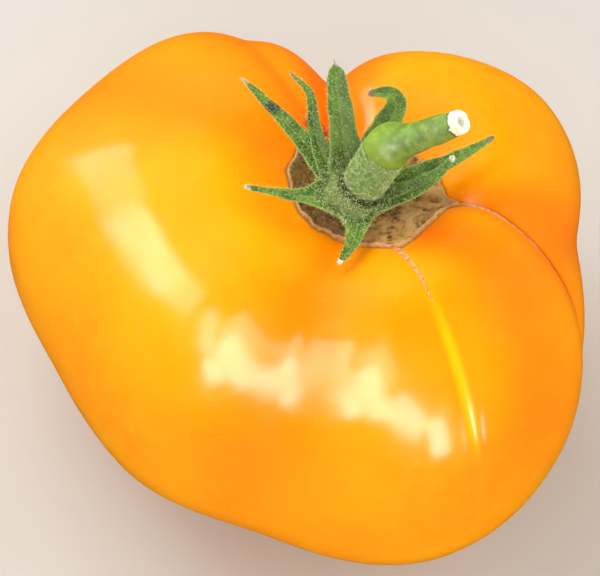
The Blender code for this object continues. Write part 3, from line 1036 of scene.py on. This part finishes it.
def stalk_radius(station, radius, angle, spot):
    """The stalk's fine form: ribs and a neck below the step, the swollen knuckle, a thinner upper
    length and foot, and low lumps."""
    step_up = ease((station - STEP_STATION) / STEP_SPAN)
    past = ease((station - SWELLING_END) / SWELLING_SPAN)
    rib = 0.5 + 0.5 * math.cos(RIB_COUNT * angle + RIB_TURN)
    size = radius * (1 + RIB_SHARE * rib * (1 - step_up))
    size -= NECK_DEPTH * (1 - step_up) * ease(station - NECK_STATION)
    size += KNUCKLE_SWELLING * step_up * (1 - past)
    size *= 1 - UPPER_THINNING * ease(station - UPPER_STATION)
    size *= 1 - FOOT_THINNING * ease((FOOT_SPAN - station) / FOOT_SPAN)
    return size + STALK_LUMP * noise.noise(spot / STALK_LUMP_SIZE)


def build_stalk(skin, pith):
    """The stalk: a woolly foot, the swollen knuckle with its step, and the smooth upper length with
    its cut face."""
    mesh_data = bmesh.new()
    (along_layer,) = new_measures(mesh_data, "along")
    line = stalk_line()
    rings = []
    side_axis = None
    for index, (station, point, radius) in enumerate(line):
        after = line[min(index + 1, len(line) - 1)][1]
        before = line[max(index - 1, 0)][1]
        along = (after - before).normalized()
        side_axis = side_axis or along.cross(UP).normalized()
        side_axis = (side_axis - along * side_axis.dot(along)).normalized()
        other_axis = along.cross(side_axis)
        row = []
        for side in range(STALK_SIDES):
            angle = 2 * math.pi * side / STALK_SIDES
            out = side_axis * math.cos(angle) + other_axis * math.sin(angle)
            size = stalk_radius(station, radius, angle, point + out * radius)
            vertex = mesh_data.verts.new(point + out * size)
            vertex[along_layer] = station
            row.append(vertex)
        rings.append(row)
    join_rows(mesh_data, rings)
    fan(mesh_data, rings[0], mesh_data.verts.new(line[0][1]))
    end_point = line[-1][1]
    outward = (end_point - line[-3][1]).normalized()
    face_rows = [rings[-1]]
    for share, rise in CUT_FACE:
        row = []
        for vertex in rings[-1]:
            spot = end_point.lerp(vertex.co, share)
            lump = PITH_LUMP * noise.noise(spot / PITH_LUMP_SIZE)
            made = mesh_data.verts.new(spot + outward * (rise + lump))
            made[along_layer] = 1 - share
            row.append(made)
        face_rows.append(row)
    middle = mesh_data.verts.new(end_point + outward * CUT_FACE[-1][1])
    middle[along_layer] = 1.0
    pith_faces = join_rows(mesh_data, face_rows) + fan(mesh_data, face_rows[-1], middle)
    for face in pith_faces:
        face.material_index = 1
    bmesh.ops.recalc_face_normals(mesh_data, faces=mesh_data.faces)
    keep_inside(mesh_data, "stem")
    stalk = make_piece("stalk", mesh_data, skin, "stalk_green", "stem")
    stalk.data.materials.append(pith)
    return stalk


def stalk_skin():
    """The stalk's skin: thick, juicy and pale green. Its foot is grey-green under wool, the knuckle
    is bare, yellow-green and a little shiny, and the upper length is duller with a few scuffs."""
    near_cut = Frayed("along", 1.1 * MM, 0.3)
    coats = (
        ("patches", "#789638", Fade(Cloud(1.5 * MM, 3.0), 0.35, 0.65)),
        ("foot", "#66982E", Fade("along", STEP_STATION - 0.15, STEP_STATION + 0.2, 1.0, 0.0)),
        (
            "knuckle", "#80A024", Fade("along", STEP_STATION, STEP_STATION + 0.25, 0.0, 0.75),
            Fade("along", KNUCKLE_STATION, KNUCKLE_STATION + 0.9, 1.0, 0.0),
        ),
        ("scuffs", "#9DAC66", Fade(Cloud(1.3 * MM, 4.0, 0.7), 0.50, 0.68, 0.0, 0.6)),
        ("specks", "#4F6124", Fade(Dots(1.5 * MM), 0.04, 0.10, 0.7, 0.0)),
        ("browned_end", "#4A4A1E", Fade(near_cut, CUT_STATION - 0.10, CUT_STATION - 0.06, 0.0, 0.8)),
        ("peeled_end", "#EFE9CC", Fade(near_cut, CUT_STATION - 0.04, CUT_STATION)),
    )
    bumps = (
        Bump(Cloud(1.2 * MM, 3.0), 0.12 * MM, 0.4),
        Bump(Cloud(0.3 * MM), 0.04 * MM, 0.3),
    )
    values = {
        "Roughness": 0.48, "IOR": 1.42, "Specular IOR Level": 0.3,
        **flesh(0.2, (0.5, 0.8, 0.2), 1.0 * MM),
    }
    return make_material("juicy_stalk_skin", "#5F7E2C", coats, bumps, values)


def cut_pith():
    """The cut face: moist cream pith, white at its rim and grey-green where it has sunk in."""
    coats = (
        ("patches", "#FBF6E6", Fade(Cloud(0.8 * MM, 3.0), 0.35, 0.65)),
        ("sunk_middle", "#A9A98A", Fade("along", 0.45, 0.75, 0.0, 0.6)),
    )
    bumps = (Bump(Cloud(0.5 * MM, 3.0), 0.12 * MM, 0.6),)
    values = {"Roughness": 0.5, "IOR": 1.4, **flesh(0.3, (1.0, 0.9, 0.6), 0.8 * MM)}
    return make_material("moist_cut_pith", "#EFE9CC", coats, bumps, values)


# The hairs

Down = namedtuple("Down", "name slot count shortest longest root_radius lean seed")
CALYX_DOWN = Down("calyx_hairs", "calyx_green", 9000, 0.25 * MM, 0.6 * MM, 0.035 * MM, 0.45, 11)
HUB_DOWN = Down("hub_hairs", "calyx_green", 3200, 0.4 * MM, 0.9 * MM, 0.06 * MM, 0.7, 14)
STALK_DOWN = Down("stalk_hairs", "stalk_green", 8000, 0.25 * MM, 0.6 * MM, 0.05 * MM, 0.7, 12)
SCAR_FRAY = Down("scar_fibres", "corky_scar", 600, 0.8 * MM, 2.0 * MM, 0.045 * MM, 1.1, 13)
RUSSET_FRAY = Down("russet_fibres", "corky_scar", 220, 0.8 * MM, 1.8 * MM, 0.045 * MM, 1.1, 15)
HAIR_SIDES = 3
HAIR_TAPER = 0.7
HAIRY_REACH = 6.5 * MM
WOOL_END = 1.6 * MM
# How far upwards a face looks, at least, where hairs and fibres grow
HAIRY_SLOPE = -0.5
FRAYED_SLOPE = 0.3


def grow_hairs(down, hosts, material, allowed):
    """Fine bent cones rooted at random places on the host pieces, one mesh for all of them."""
    draw = random.Random(down.seed)
    spots, sums, total = [], [], 0.0
    for host in hosts:
        for polygon in host.data.polygons:
            if allowed(polygon.center, polygon.normal):
                total += polygon.area
                spots.append((host.data, polygon))
                sums.append(total)
    mesh_data = bmesh.new()
    for _ in range(down.count):
        mesh, polygon = spots[bisect.bisect_left(sums, draw.random() * total)]
        corners = [mesh.vertices[index].co for index in polygon.vertices]
        weights = [draw.random() for _ in corners]
        root = sum((c * w for c, w in zip(corners, weights)), Vector()) / sum(weights)
        tilt = Vector([draw.gauss(0, down.lean) for _ in range(3)])
        first = (polygon.normal + tilt).normalized()
        second = (first + Vector([draw.gauss(0, down.lean) for _ in range(3)])).normalized()
        length = draw.uniform(down.shortest, down.longest)
        side = first.orthogonal().normalized()
        other = first.cross(side)
        bend = root + first * length / 2
        tip = mesh_data.verts.new(bend + second * length / 2)
        rings = []
        for middle, radius in ((root, down.root_radius), (bend, down.root_radius * HAIR_TAPER)):
            ring = []
            for corner in range(HAIR_SIDES):
                angle = 2 * math.pi * corner / HAIR_SIDES
                out = side * math.cos(angle) + other * math.sin(angle)
                ring.append(mesh_data.verts.new(middle + out * radius))
            rings.append(ring)
        join_rings(mesh_data, rings[0], rings[1])
        fan(mesh_data, rings[1], tip)
        mesh_data.faces.new(rings[0][::-1])
    return make_piece(down.name, mesh_data, material, down.slot)


def plant_hair():
    """Plant hairs: clear and whitish, seen mostly where the light comes through them. They are
    drawn thicker than the real 0.03 mm, so that they show."""
    coats = (("tone", "#E2EAB0", Fade(Cloud(0.6 * MM), 0.35, 0.65)),)
    values = {"Roughness": 0.55, "IOR": 1.5, "Specular IOR Level": 0.3}
    return make_material("whitish_plant_hair", "#8FAE48", coats, (), values)


# The stage

LampSpot = namedtuple("LampSpot", "name azimuth elevation roll width height glow")
# Lamps that show as patches in the wax, and lamps that only light the flesh and the leaves
GLOSS_DISTANCE = 0.42
GLOSS_LAMPS = (
    LampSpot("gloss_back_left", 147, 18, 36, 0.240, 0.145, 7.0),
    LampSpot("gloss_left_high", 170, 26, 110, 0.143, 0.080, 10.0),
    LampSpot("gloss_left", 176, 32, 39, 0.172, 0.115, 11.0),
    LampSpot("gloss_front_left", -122, 30, 137, 0.215, 0.098, 27.0),
    LampSpot("gloss_front_low", -130, 21, 137, 0.110, 0.060, 26.0),
    LampSpot("gloss_front_high", -149, 36, 136, 0.187, 0.050, 19.0),
    LampSpot("gloss_front_top", -129, 46, 150, 0.175, 0.130, 10.5),
    LampSpot("gloss_front_under", -129, 17, 120, 0.082, 0.070, 4.0),
    LampSpot("gloss_front", -96, 23, 150, 0.170, 0.125, 26.0),
    LampSpot("gloss_front_right", -75, 12, 99, 0.155, 0.100, 29.0),
    LampSpot("gloss_right_low", -53, 6, 90, 0.121, 0.017, 24.0),
)
SOFT_DISTANCE = 0.90
SOFT_SIZE = 0.80
SOFT_LAMPS = (
    LampSpot("soft_left", 175, 45, 0, SOFT_SIZE, SOFT_SIZE, 0.6),
    LampSpot("soft_front", -88, 20, 0, SOFT_SIZE, SOFT_SIZE, 2.3),
    LampSpot("soft_back", 124, 38, 0, SOFT_SIZE, SOFT_SIZE, 4.4),
    LampSpot("soft_right", 12, 28, 0, SOFT_SIZE, SOFT_SIZE, 2.2),
)
ROOM_GLOW = 0.75
AIM = Vector((0, 0, 40)) * MM
PHOTO_WIDTH = 600
FOCAL_PIXELS = 2683
SENSOR_WIDTH = 36.0
CAMERA_ELEVATION = 59
CAMERA_DISTANCE = 430 * MM
CAMERA_TARGET = Vector((2.74, -1.77, 28.0)) * MM
FLOOR_HALF_WIDTH = 3.0


def light_lamp(spot, distance, in_wax):
    """A soft rectangular lamp that faces the fruit. Glow is its brightness per area."""
    light = bpy.data.lights.new(spot.name, "AREA")
    light.shape = "RECTANGLE"
    light.size, light.size_y = spot.width, spot.height
    light.energy = spot.glow * math.pi * spot.width * spot.height
    lamp = put(spot.name, light)
    rise = math.radians(spot.elevation)
    away = facing(spot.azimuth) * math.cos(rise) + UP * math.sin(rise)
    lamp.location = AIM + away * distance
    lamp.rotation_mode = "QUATERNION"
    roll = Quaternion(UP, math.radians(spot.roll))
    lamp.rotation_quaternion = away.to_track_quat("Z", "Y") @ roll
    lamp.visible_camera = False
    lamp.visible_glossy = in_wax
    lamp.visible_diffuse = not in_wax


def light_room():
    """Even pale light from all round, which does not show in the wax."""
    world = bpy.data.worlds.new("pale_room")
    world.use_nodes = True
    bpy.context.scene.world = world
    backdrop = world.node_tree.nodes["Background"]
    backdrop.inputs["Color"].default_value = linear("#F4F1EC")
    backdrop.inputs["Strength"].default_value = ROOM_GLOW
    world.cycles_visibility.glossy = False


def lay_floor():
    """A plain pale floor with a faint cloudiness, as of matt paper."""
    mesh_data = bmesh.new()
    bmesh.ops.create_grid(mesh_data, x_segments=4, y_segments=4, size=FLOOR_HALF_WIDTH)
    coats = (("faint_clouds", "#BDB9B2", Cloud(60 * MM)),)
    paper = make_material("matt_pale_paper", "#B4B0A9", coats, (), {"Roughness": 0.9})
    floor = put_mesh("floor", mesh_data, paper)
    floor.visible_glossy = False


def place_camera():
    """The camera at the photograph's viewing angle: from the front, well above."""
    rise = math.radians(CAMERA_ELEVATION)
    back = Vector((0, -math.cos(rise), math.sin(rise)))
    data = bpy.data.cameras.new("camera")
    data.sensor_width = SENSOR_WIDTH
    data.lens = FOCAL_PIXELS / PHOTO_WIDTH * SENSOR_WIDTH
    data.clip_start = 10 * MM
    camera = put("camera", data)
    camera.location = CAMERA_TARGET + back * CAMERA_DISTANCE
    camera.rotation_mode = "QUATERNION"
    camera.rotation_quaternion = back.to_track_quat("Z", "Y")
    bpy.context.scene.camera = camera


def main():
    skin = build_fruit_skin()
    scar = build_scar()
    cork_thread = line_cork()
    for line in CORK_LINES:
        build_cork_line(line, cork_thread)
    leaf = calyx_leaf()
    hub = build_hub(leaf)
    sepals = [build_sepal(sepal, number, leaf) for number, sepal in enumerate(SEPALS)]
    stalk = build_stalk(stalk_skin(), cut_pith())
    hair = plant_hair()
    green = [hub, *sepals]
    lean = (KNUCKLE - HUB_TOP).normalized()

    def on_hub(place, normal):
        return normal.z > 0 and (place - SEPAL_ORIGIN).length < HAIRY_REACH

    def on_foot(place, normal):
        return (place - KNUCKLE).dot(lean) < -WOOL_END

    def on_russet(place, normal):
        return (place - RUSSET).length < RUSSET_REACH

    grow_hairs(CALYX_DOWN, green, hair, lambda place, normal: normal.z > HAIRY_SLOPE)
    grow_hairs(HUB_DOWN, green, hair, on_hub)
    grow_hairs(STALK_DOWN, [stalk], hair, on_foot)
    grow_hairs(SCAR_FRAY, [scar], cork_thread, lambda place, normal: normal.z > FRAYED_SLOPE)
    grow_hairs(RUSSET_FRAY, [skin], cork_thread, on_russet)
    lay_floor()
    light_room()
    for spot in GLOSS_LAMPS:
        light_lamp(spot, GLOSS_DISTANCE, True)
    for spot in SOFT_LAMPS:
        light_lamp(spot, SOFT_DISTANCE, False)
    place_camera()
    bpy.context.scene.view_settings.view_transform = "Standard"


main()
